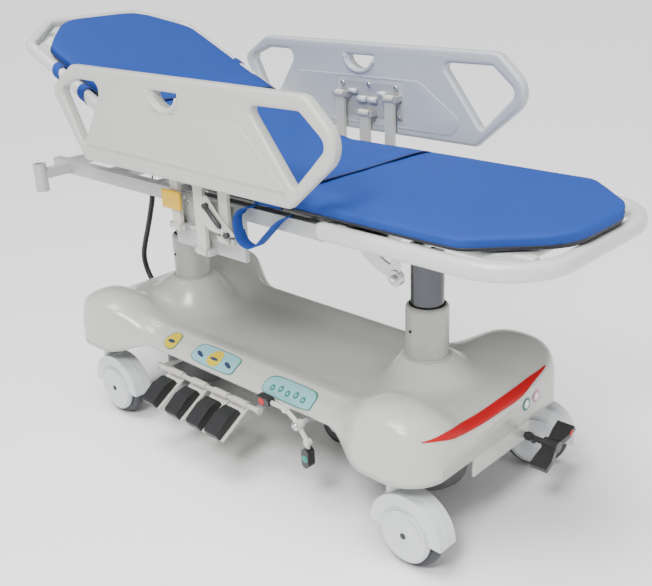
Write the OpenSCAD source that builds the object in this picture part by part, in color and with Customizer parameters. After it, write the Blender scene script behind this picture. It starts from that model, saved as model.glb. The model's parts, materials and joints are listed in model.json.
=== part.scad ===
/* [Base] */
// Length of the moulded base cover
base_len = 1560; // [1540:5:1580]
// Width of the base cover over its four corners
base_wide = 750; // [730:5:760]
// Width of the base cover at its waist
base_waist = 600; // [580:5:610]
// Distance between the two lifting columns
column_gap = 1049; // [1045:1:1053]

/* [Columns] */
// Outer radius of the fixed column sleeve
sleeve_r = 62; // [60:1:64]
// Radius of the chrome ram
ram_r = 47; // [46:1:48]
// Height of the sleeve's top above the floor
sleeve_top = 605; // [600:1:610]

/* [Castors] */
// Wheel radius
wheel_r = 100; // [98:1:100]
// Distance that a wheel trails behind its stem
castor_trail = 55; // [50:1:58]

/* [Platform] */
// Height of the deck loop's top above the floor
deck_z = 905; // [903:1:907]
// Width of the leg loop
loop_wide = 680; // [670:5:685]
// Angle of the backrest as drawn
back_angle = 24; // [23:0.5:25]
// Length of the backrest board from its hinge
back_len = 978; // [966:2:982]

/* [Side rails] */
// Length of a side rail
rail_len = 1162; // [1156:2:1166]
// Height of a side rail's top above the floor
rail_top = 1238; // [1232:2:1240]
// Height of a side rail's bottom above the floor
rail_low = 956; // [952:1:958]
// Thickness of a side rail
rail_thick = 38; // [36:1:38]

/* [Hidden] */
$fn = 48;
base_x = -31.2;               // base centre, so that the origin is at the middle of the footprint
col_x = column_gap / 2;
run_gap = 0.05;             // radial clearance of every running fit
white = [0.90, 0.90, 0.87];
cream = [0.80, 0.80, 0.75];
steel = [0.72, 0.73, 0.75];
stem_x = 650;
stem_y = 300;
plate_z = 262;
pump_r = 122;
chassis_tube_y = 160;
pivot_z = 835;              // height of the tilt pivot
tube_y = 300;               // centre line of the deck's long tubes
rail_shift = -8;
rail_y = 376;               // inner face of a side rail
arm_low_z = 800;
arm_high_z = 1075;
arm_x = 105;
socket_x = -720;             // accessory pole sockets
socket_y = 425;
link_drop = 55;             // the centre link's pivots lie this far below the arms' pivots
arm_y = 353;
pedal_y = -285;
pedal_z = 235;
pedal_slope = 31;
pedal_x = [-290, -172, -66, 22];
rocker_x = 313;
rocker_y = -320;
rocker_z = 280;
fifth_x = 360;
fifth_z = 240;
end_y = 130;
end_z = 218;
hinge_x = -101;             // backrest hinge axis
hinge_z = 885;
board_low = 17;             // the board lies this far above its hinge axis
board_high = 55;
board_half = 336;
castors = [[1, -1, 0], [1, 1, 25], [-1, -1, 0], [-1, 1, 0]];
hose_r = 10.5;
hose_path = [[-862, 100, 664], [-868, 100, 640], [-878, 100, 612], [-889, 100, 584], [-900, 100, 556],
    [-912, 100, 528], [-924, 100, 500], [-937, 100, 472], [-949, 100, 444], [-960, 100, 414],
    [-965, 100, 386], [-962, 100, 358], [-953, 100, 332], [-940, 100, 310], [-926, 100, 292]];

function ease(a, b, x) = let(t = min(1, max(0, (x - a) / (b - a)))) t * t * (3 - 2 * t);
function round_end(x, half, r) = abs(x) <= half - r ? r
    : sqrt(max(0, r * r - pow(abs(x) - (half - r), 2)));
// Half width of the base cover at a distance x from its middle
function half_wide(x, half, inset) = base_waist / 2 + (base_wide - base_waist) / 2 * ease(400, 600, abs(x))
    - 120 + round_end(x, half, 120) - inset;
// Height of the cover's lower edge
function low_edge(x) = 302 - 40 * ease(400, 560, abs(x));
// Height of the cover's upper surface
function pedestal(x, y) = 1 - ease(66, 165, sqrt(pow(abs(x) - col_x, 2) + y * y));
function hump(x, y) = 26 * exp(-pow((abs(x) - 635) / 110, 2) - pow((abs(y) - 265) / 90, 2));
function tray(x, y) = 342 + 20 * ease(150, 225, abs(y)) + 56 * ease(400, 580, abs(x)) + hump(x, y);
function top_z(x, y) = let(w = pedestal(x, y)) tray(x, y) * (1 - w) + 450 * w;
function section(x, half, inset) =
    let(w = half_wide(x, half, inset), n = 16,
        drop = 46 - 46 / 120 * round_end(x, half, 120),
        side = [for (s = [1, -1]) [for (k = [0 : 5])
            let(t = k / 5, y = w - 4 - (95 - 54 * ease(400, 560, abs(x))) * (1 - cos(75 * t)))
            [x, s * y, low_edge(x) + (top_z(x, w - 60) - 12 - drop - inset - low_edge(x)) * sin(90 * t)]]])
    concat(side[0],
        [for (i = [1 : n - 1]) let(y = (w - 52) - 2 * (w - 52) * i / n)
            [x, y, top_z(x, y) - drop - inset]],
        [for (k = [5 : -1 : 0]) side[1][k]]);

module place() translate([base_x, 0, 0]) children();
module rod_x(x0, x1, y, z, r) translate([x0, y, z]) rotate([0, 90, 0]) cylinder(h = x1 - x0, r = r);
module rod_y(y0, y1, x, z, r) translate([x, y0, z]) rotate([-90, 0, 0]) cylinder(h = y1 - y0, r = r);
module ring(r1, r2, h) difference() {
    cylinder(h = h, r = r2);
    translate([0, 0, -1]) cylinder(h = h + 2, r = r1);
}
module bar(p, q, r) {
    d = q - p;
    len = norm(d);
    translate(p) rotate([0, acos(d[2] / len), atan2(d[1], d[0])]) cylinder(h = len, r = r, $fn = 24);
}
module box(lo, hi) translate(lo) cube(hi - lo);
// A lofted solid through equal sections, closed at both ends
module loft(rings) {
    n = len(rings[0]);
    m = len(rings);
    polyhedron(points = [for (r = rings) for (p = r) p],
        faces = concat([[for (j = [0 : n - 1]) j]], [[for (j = [n - 1 : -1 : 0]) (m - 1) * n + j]],
            [for (i = [0 : m - 2]) for (j = [0 : n - 1]) let(k = (j + 1) % n)
                each [[i * n + j, (i + 1) * n + j, (i + 1) * n + k],
                    [i * n + j, (i + 1) * n + k, i * n + k]]]));
}
function cover_rings(half, inset) = let(steps = 34)
    [for (i = [0 : steps]) section((half - 1) * sin(-90 + 180 * i / steps), half, inset)];
// A thin shell, open below, between two equal sets of rings
module shell(outer, inner) {
    n = len(outer[0]);
    m = len(outer);
    total = n * m;
    last = total - n;
    polyhedron(points = concat([for (r = outer) each r], [for (r = inner) each r]),
        faces = concat([[for (j = [0 : n - 1]) j]], [[for (j = [n - 1 : -1 : 0]) last + j]],
            [[for (j = [n - 1 : -1 : 0]) total + j]], [[for (j = [0 : n - 1]) total + last + j]],
            [[0, n - 1, total + n - 1, total]],
            [[last + n - 1, last, total + last, total + last + n - 1]],
            [for (i = [0 : m - 2]) for (j = [0 : n - 2]) let(a = i * n + j, b = a + n)
                each [[a, b, b + 1], [a, b + 1, a + 1]]],
            [for (i = [0 : m - 2]) for (j = [0 : n - 2]) let(a = total + i * n + j, b = a + n)
                each [[a, b + 1, b], [a, a + 1, b + 1]]],
            [for (i = [0 : m - 2]) let(a = i * n, b = a + n)
                each [[total + a, total + b, b], [total + a, b, a]]],
            [for (i = [0 : m - 2]) let(a = i * n + n - 1, b = a + n)
                each [[a, b, total + b], [a, total + b, total + a]]]));
}
module base_cover() color(white) place() {
    half = base_len / 2;
    skirt = [-125, 150];
    difference() {
        union() {
            shell(cover_rings(half, 0), cover_rings(half - 6, 6));
            box([half - 6, skirt[0], 200], [half - 2, skirt[1], 270]);
        }
        for (s = [-1, 1]) translate([s * col_x, 0, 300]) cylinder(h = 200, r = sleeve_r + 1);
        rod_x(half - 40, half + 10, end_y, end_z, 13);
    }
}
module chassis_frame() color(steel) place() {
    for (s = [-1, 1]) box([-620, s * chassis_tube_y - 20, 288], [620, s * chassis_tube_y + 20, 318]);
    for (x = [-stem_x, stem_x]) difference() {
        union() {
            for (s = [-1, 1])
                box([x - 30, s > 0 ? 95 : -335, plate_z], [x + 30, s > 0 ? 335 : -95, plate_z + 10]);
            for (s = [-1, 1])
                box([x - 30, s * chassis_tube_y - 20, plate_z], [x + 30, s * chassis_tube_y + 20, 318]);
        }
        for (s = [-1, 1]) translate([x, s * stem_y, plate_z - 5]) cylinder(h = 20, r = 12 + run_gap);
    }
    for (x = [-col_x, col_x]) difference() {
        box([x - 80, -chassis_tube_y, 304], [x + 80, chassis_tube_y, 316]);
        translate([x, 0, 300]) cylinder(h = 20, r = sleeve_r);
    }
    // pedal hangers
    for (x = [-366, 92]) {
        difference() {
            rod_y(pedal_y, -chassis_tube_y + 10, x, pedal_z, 9);
            rod_x(x - 12, x + 12, pedal_y, pedal_z, 8);
        }
        box([x - 9, -chassis_tube_y - 10, pedal_z - 9], [x + 9, -chassis_tube_y + 10, 292]);
    }
    // rocker pivot rod
    rod_y(-334, -chassis_tube_y - 10, rocker_x, rocker_z, 8);
    box([rocker_x - 14, -chassis_tube_y - 20, rocker_z - 12], [rocker_x + 14, -chassis_tube_y, 300]);
    // fifth wheel pivot
    rod_y(-40, 40, fifth_x, fifth_z, 7);
    for (s = [-1, 1]) box([fifth_x - 12, s * 37 - 4, fifth_z - 12], [fifth_x + 12, s * 37 + 4, 300]);
    box([fifth_x - 15, -chassis_tube_y, 294], [fifth_x + 15, chassis_tube_y, 304]);
    // bearing block of the end pedal's shaft
    difference() {
        box([690, end_y - 20, end_z - 14], [706, end_y + 20, plate_z + 6]);
        rod_x(680, 720, end_y, end_z, 9 + run_gap);
    }
    box([660, end_y - 20, plate_z], [706, end_y + 20, plate_z + 10]);
}
module sleeve(s) color(cream) place() translate([s * col_x, 0, 0]) difference() {
    rotate_extrude($fn = 64) polygon([[ram_r + run_gap, 230], [sleeve_r, 230], [sleeve_r, sleeve_top - 10],
        [sleeve_r - 3, sleeve_top - 3], [sleeve_r - 8, sleeve_top], [ram_r + run_gap, sleeve_top]]);
    translate([0, 0, sleeve_top - 6]) cylinder(h = 10, r = ram_r + 5);
}
module head_sleeve() sleeve(-1);
module foot_sleeve() sleeve(1);
module column_seals() color("#202020") place()
    for (s = [-1, 1]) translate([s * col_x, 0, sleeve_top - 6]) ring(ram_r + run_gap, ram_r + 5, 8);
module pump(s) color([0.62, 0.63, 0.64]) place() translate([s * col_x, 0, 0])
    rotate_extrude($fn = 64) polygon(concat([[0, 48]],
        [for (k = [0 : 8]) [pump_r - 42 + 42 * sin(k * 90 / 8), 90 - 42 * cos(k * 90 / 8)]],
        [[pump_r, 296], [sleeve_r + 1, 296], [sleeve_r + 1, 290], [pump_r - 6, 290]],
        [for (k = [8 : -1 : 0]) [pump_r - 42 + 36 * sin(k * 90 / 8), 90 - 36 * cos(k * 90 / 8)]], [[0, 54]]));
module head_pump() pump(-1);
module foot_pump() pump(1);
module pedal_shaft() color(white) place() {
    rod_x(-382, 108, pedal_y, pedal_z, 8);
    for (x = [-386, 108]) rod_x(x, x + 4, pedal_y, pedal_z, 12);
}

// ---- castors ----
module castor_at(k) {
    c = castors[k];
    place() translate([c[0] * stem_x, c[1] * stem_y, 0]) rotate([0, 0, c[2]]) children();
}
module castor_housing(k) color([0.93, 0.93, 0.93]) castor_at(k) difference() {
    union() {
        translate([castor_trail, 0, wheel_r]) {
            intersection() {
                rod_y(-33, 33, 0, 0, 118);
                box([-130, -40, 0], [130, 40, 130]);
            }
            rod_y(-35, 35, 0, 0, 80);
        }
        translate([0, 0, 186]) cylinder(h = 64, r = 25);
        translate([0, 0, 240]) cylinder(h = 10, r = 34);
        translate([0, 0, 240]) cylinder(h = 36, r = 12);
    }
    translate([castor_trail, 0, wheel_r]) rod_y(-24, 24, 0, 0, 106);
}
module castor_axle(k) castor_at(k) translate([castor_trail, 0, wheel_r]) rod_y(-30, 30, 0, 0, 8);
module housing(k) { castor_housing(k); color("silver") castor_axle(k); }
module wheel_core(k) color([0.80, 0.81, 0.82]) castor_at(k)
    translate([castor_trail, 0, wheel_r]) rotate([-90, 0, 0])
    rotate_extrude($fn = 64) polygon([[8 + run_gap, -20], [22, -20], [24, -12], [66, -12],
        [68, -17], [76, -17],
        [76, 17], [68, 17], [66, 12], [24, 12], [22, 20], [8 + run_gap, 20]]);
module wheel_tyre(k) color([0.40, 0.41, 0.43]) castor_at(k)
    translate([castor_trail, 0, wheel_r]) rotate([-90, 0, 0])
    rotate_extrude($fn = 72) polygon(concat([[76, -17], [80, -19], [90, -19]],
        [for (t = [-80 : 16 : 80]) [wheel_r - 9 + 9 * cos(t), 18 * sin(t)]], [[90, 19], [80, 19], [76, 17]]));
module castor_housing_1() housing(0);
module castor_housing_2() housing(1);
module castor_housing_3() housing(2);
module castor_housing_4() housing(3);
module wheel_core_1() wheel_core(0);
module wheel_core_2() wheel_core(1);
module wheel_core_3() wheel_core(2);
module wheel_core_4() wheel_core(3);
module wheel_tyre_1() wheel_tyre(0);
module wheel_tyre_2() wheel_tyre(1);
module wheel_tyre_3() wheel_tyre(2);
module wheel_tyre_4() wheel_tyre(3);

// ---- steering wheel under the middle of the base ----
fifth_wx = 170;
fifth_wz = 84;
fifth_r = 62;
module fifth_arm() color(steel) place() difference() {
    union() {
        for (s = [-1, 1]) hull() {
            rod_y(s * 27 - 4, s * 27 + 4, fifth_x, fifth_z, 14, $fn = 32);
            rod_y(s * 27 - 4, s * 27 + 4, fifth_wx, fifth_wz, 14, $fn = 32);
        }
        rod_y(-27, 27, fifth_x, fifth_z, 13);
        rod_y(-30, 30, fifth_wx, fifth_wz, 7);
    }
    rod_y(-40, 40, fifth_x, fifth_z, 7 + run_gap);
}
module fifth_wheel() color("#3a3b3d") place() difference() {
    rod_y(-18, 18, fifth_wx, fifth_wz, fifth_r - 14);
    rod_y(-20, 20, fifth_wx, fifth_wz, 7 + run_gap);
}
module fifth_tyre() color("#202020") place() translate([fifth_wx, 0, fifth_wz]) rotate([-90, 0, 0])
    rotate_extrude($fn = 64) polygon([[fifth_r - 14, -16], [fifth_r - 4, -16], [fifth_r, -10], [fifth_r, 10],
        [fifth_r - 4, 16], [fifth_r - 14, 16]]);

// ---- pump pedals ----
module at_pedal(k) place() translate([pedal_x[k], pedal_y, pedal_z]) children();
module pump_lever(k) color(white) at_pedal(k) difference() {
    union() {
        rod_x(-34, 34, 0, 0, 13);
        rotate([pedal_slope, 0, 0]) box([-40, -134, -8], [40, 0, -3]);
    }
    rod_x(-50, 50, 0, 0, 8 + run_gap);
}
module pump_pad(k) color("#2b2d31") at_pedal(k) rotate([pedal_slope, 0, 0]) translate([0, 0, -3])
    translate([-29, 0, 0]) rotate([90, 0, 90]) linear_extrude(58)
    polygon([[-136, 0], [-136, 24], [-128, 30], [-72, 36], [-36, 24], [-30, 18], [-30, 0]]);
module pump_lever_1() pump_lever(0);
module pump_lever_2() pump_lever(1);
module pump_lever_3() pump_lever(2);
module pump_lever_4() pump_lever(3);
module pump_pad_1() pump_pad(0);
module pump_pad_2() pump_pad(1);
module pump_pad_3() pump_pad(2);
module pump_pad_4() pump_pad(3);

// ---- brake and steering rocker ----
brake_pad = [-136, 0, 34];
steer_pad = [34, 0, -92];
module at_rocker() place() translate([rocker_x, rocker_y, rocker_z]) children();
module rocker_arm() color(white) at_rocker() difference() {
    union() {
        rod_y(-10, 10, 0, 0, 15);
        bar([0, 0, 4], [-50, 0, 34], 7);
        bar([-50, 0, 34], brake_pad + [20, 0, 0], 7);
        rod_y(-8, 8, -50, 34, 11);
        bar([0, 0, 0], [34, 0, -44], 7);
        bar([34, 0, -44], steer_pad + [0, 0, 22], 7);
        rod_y(-8, 8, 34, -44, 11);
    }
    rod_y(-20, 20, 0, 0, 8 + run_gap);
}
module pad_shape(a) rotate([0, a, 0]) hull() for (s = [-1, 1]) rod_y(-15, 12, s * 17, 0, 14, $fn = 32);
module rocker_pad_brake() color("#1d1e20") at_rocker() difference() {
    translate(brake_pad) pad_shape(0);
    bar([-50, 0, 34], brake_pad + [20, 0, 0], 7);
}
module rocker_pad_steer() color("#1d1e20") at_rocker() difference() {
    translate(steer_pad) pad_shape(90);
    bar([34, 0, -44], steer_pad + [0, 0, 22], 7);
}

// ---- end pedal ----
module end_pedal_shaft() color("#2a2a2c") place() {
    rod_x(684, 872, end_y, end_z, 9);
    rod_x(770 + 14, 800, end_y, end_z, 13);
}
module end_pedal() color("#191a1b") place() difference() {
    translate([0, end_y, end_z]) rotate([26, 0, 0]) {
        rod_x(840, 886, 0, 0, 17);
        for (s = [-1, 1]) hull() {
            box([846, s * 20 - 8, -12], [884, s * 20 + 8, 8]);
            box([838, s * 66 - 16, -14], [892, s * 66 + 16, 2]);
        }
    }
    rod_x(830, 872, end_y, end_z, 9);
}

// ---- lifting rams ----
module head_ram() color("silver") place() translate([-col_x, 0, 220]) cylinder(h = 576, r = ram_r);
module head_yoke() color(steel) place() translate([-col_x, 0, 0]) {
    translate([0, 0, 796]) cylinder(h = 10, r = ram_r);
    box([-16, -28, 804], [16, 28, pivot_z + 12]);
    rod_y(-52, 52, 0, pivot_z, 10);
}
module foot_stage() color("silver") place() translate([col_x, 0, 0]) {
    translate([0, 0, 200]) cylinder(h = 24, r = ram_r);
    translate([0, 0, 200]) cylinder(h = 450, r = 36);
}
module foot_ram() color("silver") place() translate([col_x, 0, 0]) {
    difference() {
        translate([0, 0, 350]) cylinder(h = 432, r = ram_r);
        translate([0, 0, 340]) cylinder(h = 432, r = 36 + run_gap);
    }
    box([-16, -28, 781], [16, 28, pivot_z + 12]);
    rod_y(-52, 52, 0, pivot_z, 10);
}

// ---- platform ----
beam_low = 858;
beam_high = 884;
// Two cheek plates with a round hole, or with a slot that lets the foot pin slide as the platform tilts
module cheek(x, slot) for (s = [-1, 1]) difference() {
    box([x - 28, s * 40 - 7, pivot_z - 20], [x + 28 + 1.2 * slot, s * 40 + 7, beam_low + 6]);
    if (slot == 0) rod_y(-60, 60, x, pivot_z, 10 + run_gap);
    if (slot > 0) {
        for (d = [-6, slot]) rod_y(-60, 60, x + d, pivot_z, 13);
        box([x - 6, -60, pivot_z - 13], [x + slot, 60, pivot_z + 13]);
    }
}
module deck_frame() color(steel) place() {
    for (s = [-1, 1]) {
        box([-815, s * tube_y - 15, 852], [430, s * tube_y + 15, 894]);
        box([185, s * 240 - 15, 858], [570, s * 240 + 15, beam_high]);
        // accessory pole socket on its arm
        difference() {
            union() {
                translate([socket_x, s * socket_y, 820]) cylinder(h = 90, r = 21);
                box([socket_x - 15, s > 0 ? tube_y : -socket_y, 860],
                    [socket_x + 15, s > 0 ? socket_y : -tube_y, 890]);
            }
            translate([socket_x, s * socket_y, 835]) cylinder(h = 100, r = 14);
        }
        // bracket plate that carries the side rail's pivots
        box([-150, s * 322 - 7, 735], [150, s * 322 + 7, 890]);
        for (d = [-1, 1]) rod_x(d * arm_x - 34, d * arm_x + 34, s * arm_y, arm_low_z, 6);
        for (x = [-arm_x - 34, -arm_x + 24, arm_x - 34, arm_x + 24])
            box([x, s > 0 ? 322 : -arm_y - 7, arm_low_z - 9],
                [x + 10, s > 0 ? arm_y + 7 : -322, arm_low_z + 9]);
        rod_x(-34, 34, s * arm_y, arm_low_z - link_drop, 6);
        for (x = [-34, 24])
            box([x, s > 0 ? 322 : -arm_y - 7, arm_low_z - link_drop - 9],
                [x + 10, s > 0 ? arm_y + 7 : -322, arm_low_z - link_drop + 9]);
    }
    for (x = [-800, -300, 200]) box([x - 15, -tube_y, 858], [x + 15, tube_y, beam_high]);
    for (x = [-col_x, col_x]) box([x - 45, -298, beam_low + 4], [x + 45 + (x > 0 ? 30 : 0), 298, beam_high]);
    cheek(-col_x, 0);
    cheek(col_x, 36);
    // backrest hinge pin
    for (s = [-1, 1]) {
        rod_y(s > 0 ? 246 : -300, s > 0 ? 300 : -246, hinge_x, hinge_z, 8);
    }
    // tilt strut rail
    box([360, -160, 862], [col_x, -136, beam_high]);
    box([352, -300, 862], [376, -136, beam_high]);
}
module tilt_strut() color([0.66, 0.67, 0.68]) place() {
    rod_y(-158, -140, 535, 728, 22);
    rod_y(-164, -138, 535, 728, 10);
    intersection() {
        difference() {
            rod_y(-154, -146, 556, 926, 204, $fn = 96);
            rod_y(-160, -140, 570, 926, 172, $fn = 96);
        }
        box([352, -156, 716], [538, -144, 862]);
    }
    box([520, -154, 724], [548, -146, 862]);
}
module loop_shape(in) offset(r = -in, $fn = 48) hull() {
    translate([430, -loop_wide / 2]) square([10, loop_wide]);
    for (s = [-1, 1]) translate([1050 - 190, s * (loop_wide / 2 - 190)]) circle(r = 190, $fn = 72);
}
module seat_deck() color([0.90, 0.91, 0.90]) place() {
    translate([0, 0, deck_z - 44]) linear_extrude(44) difference() {
        loop_shape(0);
        loop_shape(42);
        translate([420, -280]) square([60, 560]);
    }
    // inner panel
    difference() {
        translate([0, 0, deck_z - 5 - 16]) linear_extrude(20) difference() {
            union() {
                intersection() {
                    loop_shape(82);
                    translate([430, -400]) square([700, 800]);
                }
                translate([-66, -272]) square([592, 544]);
                for (s = [-1, 1]) for (x = [470, 700]) translate([x, s > 0 ? 230 : -320]) square([34, 90]);
                translate([960, -34]) square([60, 68]);
                for (s = [-1, 1]) translate([925, s * 215 - 16]) square([60, 32]);
            }
        }
    }
}
module mattress_outline(x0, x1, half, cut) polygon([[x0, -half], [x1 - cut, -half], [x1, -half + cut * 0.95],
    [x1, half - cut * 0.95], [x1 - cut, half], [x0, half]]);
module mattress_seat() color([0.29, 0.45, 0.76]) place()
    translate([0, 0, deck_z + 0.5]) linear_extrude(40) mattress_outline(-56, 1038, 308, 195);

// ---- backrest ----
module at_back() place()
    translate([hinge_x, 0, hinge_z]) rotate([0, back_angle, 0]) mirror([1, 0, 0]) children();
module back_outline(in) offset(r = -in) hull() {
    translate([-20, -board_half]) square([10, 2 * board_half]);
    for (s = [-1, 1]) {
        translate([back_len - 155, s * (board_half - 50)]) circle(r = 50);
        translate([back_len - 50, s * (board_half - 175)]) circle(r = 50);
    }
}
module backrest_board() color([0.92, 0.92, 0.90]) at_back() difference() {
    union() {
        translate([0, 0, board_low]) linear_extrude(board_high - board_low) difference() {
            back_outline(0);
            back_outline(34);
            translate([-30, -500]) square([70, 1000]);
        }
        translate([0, 0, board_low]) linear_extrude(18) difference() {
            intersection() {
                back_outline(20);
                translate([36, -board_half]) square([back_len, 2 * board_half]);
            }
            for (s = [-1, 1])
                translate([back_len - 110, s * 218]) rotate(s * -50) square([100, 44], center = true);
        }
        for (s = [-1, 1]) translate([0, s * 267, 0]) {
            rotate([-90, 0, 0]) translate([0, 0, -13]) cylinder(h = 26, r = 16);
            translate([-10, -13, 0]) cube([70, 26, board_low + 6]);
        }
    }
    rod_y(-290, 290, 0, 0, 8 + run_gap);
}
module mattress_back() color([0.29, 0.45, 0.76]) at_back()
    translate([0, 0, board_low + 18.5]) linear_extrude(40) mattress_outline(50, back_len - 52, 290, 150);

// ---- hose ----
function unit(v) = v / norm(v);
function path_dir(i) = unit(hose_path[min(len(hose_path) - 1, i + 1)] - hose_path[max(0, i - 1)]);
module hose_hook() color("#202122") place() {
    bar([-806, 100, 858], [-846, 100, 760], 3);
    bar([-846, 100, 760], hose_path[0] + [0, 0, 6], 3);
    bar(hose_path[0] + [0, 0, 14], hose_path[0], 8);
}
module hose() color("#151515") place() loft([for (i = [0 : len(hose_path) - 1])
    let(d = path_dir(i), v = unit(cross([0, 1, 0], d)))
    [for (k = [0 : 9]) hose_path[i] + hose_r * (cos(36 * k) * v + sin(36 * k) * [0, 1, 0])]]);
module hose_fitting() color("#c8c9cc") place() {
    p = hose_path[len(hose_path) - 1];
    d = path_dir(len(hose_path) - 1);
    bar(p, p + 30 * d, 12);
    bar(p + 29 * d, p + 46 * d, 8);
}

// ---- side rails ----
module rail_outline() {
    low = rail_low;
    top = rail_top;
    hull() {
        translate([-rail_len / 2 + 118, top - 34]) circle(r = 34);
        translate([-rail_len / 2 + 32, top - 86]) circle(r = 32);
        translate([-rail_len / 2 + 132, low + 14]) circle(r = 14);
        translate([rail_len / 2 - 110, top - 50]) circle(r = 50);
        translate([rail_len / 2 - 70, top - 112]) circle(r = 70);
        translate([rail_len / 2 - 165, low + 18]) circle(r = 18);
    }
}
module left_window() hull() {
    translate([-rail_len / 2 + 66, rail_top - 84]) circle(r = 20);
    translate([-rail_len / 2 + 128, rail_top - 56]) circle(r = 16);
    translate([-rail_len / 2 + 214, rail_top - 66]) circle(r = 26);
    translate([-rail_len / 2 + 128, low_window()]) circle(r = 10);
}
function low_window() = rail_low + 62;
module right_window() hull() {
    translate([rail_len / 2 - 262, rail_top - 56]) circle(r = 14);
    translate([rail_len / 2 - 118, rail_top - 62]) circle(r = 22);
    translate([rail_len / 2 - 62, rail_top - 112]) circle(r = 26);
    translate([rail_len / 2 - 140, low_window() + 8]) circle(r = 12);
}
module grip_window() intersection() {
    translate([-32, rail_top - 46]) scale([1, 0.78]) circle(r = 52);
    translate([-100, rail_top - 100]) square([200, 62]);
}
module rail_panel(s) color([0.82, 0.83, 0.80]) place()
    translate([0, s > 0 ? rail_y + rail_thick : -rail_y, 0])
    rotate([90, 0, 0]) difference() {
        linear_extrude(rail_thick) translate([rail_shift, 0]) difference() {
            rail_outline();
            left_window();
            right_window();
            grip_window();
        }
        translate([0, 0, s > 0 ? rail_thick - 6 : -1]) linear_extrude(7)
            polygon([[-150, 1000], [150, 1000], [125, 1120], [-125, 1120]]);
    }
module rail_panel_near() rail_panel(-1);
module rail_panel_far() rail_panel(1);
// hinge plate sunk into the panel's inner face, with its bolts and hinge pins
module rail_plate(s) color([0.86, 0.87, 0.87]) place() mirror([0, s > 0 ? 0 : 1, 0]) {
    translate([0, rail_y + 5.5, 0]) rotate([90, 0, 0]) linear_extrude(5)
        polygon([[-140, 1004], [140, 1004], [118, 1116], [-118, 1116]]);
    for (p = [[-112, 1106], [0, 1108], [112, 1106], [-126, 1014], [126, 1014]])
        rod_y(rail_y - 2, rail_y + 2, p[0], p[1], 7);
    for (d = [-1, 1]) {
        rod_x(d * arm_x - 30, d * arm_x + 30, arm_y, arm_high_z, 6);
        for (x = [-30, 20])
            box([d * arm_x + x, arm_y - 9, arm_high_z - 9],
                [d * arm_x + x + 10, rail_y + 2, arm_high_z + 9]);
    }
    for (x = [-34, 24])
        box([x, arm_y - 9, arm_high_z - link_drop - 9],
            [x + 10, rail_y + 2, arm_high_z - link_drop + 9]);
    rod_x(-34, 34, arm_y, arm_high_z - link_drop, 5.5);
}
module rail_plate_near() rail_plate(-1);
module rail_plate_far() rail_plate(1);
module rail_lever(x, w, z0, z1, hole) difference() {
    union() {
        rod_x(x - w, x + w, arm_y, z0, 13);
        rod_x(x - w, x + w, arm_y, z1, 12);
        box([x - w, arm_y - 6, z0], [x + w, arm_y + 6, z1]);
    }
    rod_x(x - 40, x + 40, arm_y, z0, 6 + run_gap);
    rod_x(x - 40, x + 40, arm_y, z1, hole);
}
module rail_arms(s) color([0.93, 0.93, 0.92]) place() mirror([0, s > 0 ? 0 : 1, 0])
    for (d = [-1, 1]) rail_lever(d * arm_x, 18, arm_low_z, arm_high_z, 6 + run_gap);
module rail_arms_near() rail_arms(-1);
module rail_arms_far() rail_arms(1);
module rail_link(s) color([0.93, 0.93, 0.92]) place() mirror([0, s > 0 ? 0 : 1, 0])
    rail_lever(0, 20, arm_low_z - link_drop, arm_high_z - link_drop, 6.5);
module rail_link_near() rail_link(-1);
module rail_link_far() rail_link(1);
module rail_latch(s) color([0.93, 0.74, 0.14]) place() mirror([0, s > 0 ? 0 : 1, 0])
    box([-150, arm_y + 7, 856], [-84, arm_y + 17, 906]);
module rail_latch_near() rail_latch(-1);
module rail_latch_far() rail_latch(1);
module gas_spring() color("#55585a") place() {
    bar([-40, -296, 838], [30, -296, 790], 10);
    bar([30, -296, 790], [84, -296, 752], 5);
    translate([88, -296, 749]) sphere(r = 9);
    box([-52, -306, 830], [-32, -286, 852]);
}

base_cover();
chassis_frame();
head_sleeve();
foot_sleeve();
column_seals();
head_pump();
foot_pump();
pedal_shaft();
castor_housing_1();
castor_housing_2();
castor_housing_3();
castor_housing_4();
wheel_core_1();
wheel_core_2();
wheel_core_3();
wheel_core_4();
wheel_tyre_1();
wheel_tyre_2();
wheel_tyre_3();
wheel_tyre_4();
fifth_arm();
fifth_wheel();
fifth_tyre();
pump_lever_1();
pump_lever_2();
pump_lever_3();
pump_lever_4();
pump_pad_1();
pump_pad_2();
pump_pad_3();
pump_pad_4();
rocker_arm();
rocker_pad_brake();
rocker_pad_steer();
end_pedal_shaft();
end_pedal();
head_ram();
head_yoke();
foot_stage();
foot_ram();
deck_frame();
seat_deck();
tilt_strut();
mattress_seat();
hose_hook();
hose();
hose_fitting();
backrest_board();
mattress_back();
rail_panel_near();
rail_panel_far();
rail_plate_near();
rail_plate_far();
rail_arms_near();
rail_arms_far();
rail_link_near();
rail_link_far();
rail_latch_near();
rail_latch_far();
gas_spring();
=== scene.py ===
import json
from math import sin, cos, pi, radians, sqrt, exp, log, hypot, atan2
import bpy
import bmesh
from mathutils import Vector, Matrix, noise
from mathutils.bvhtree import BVHTree


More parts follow.
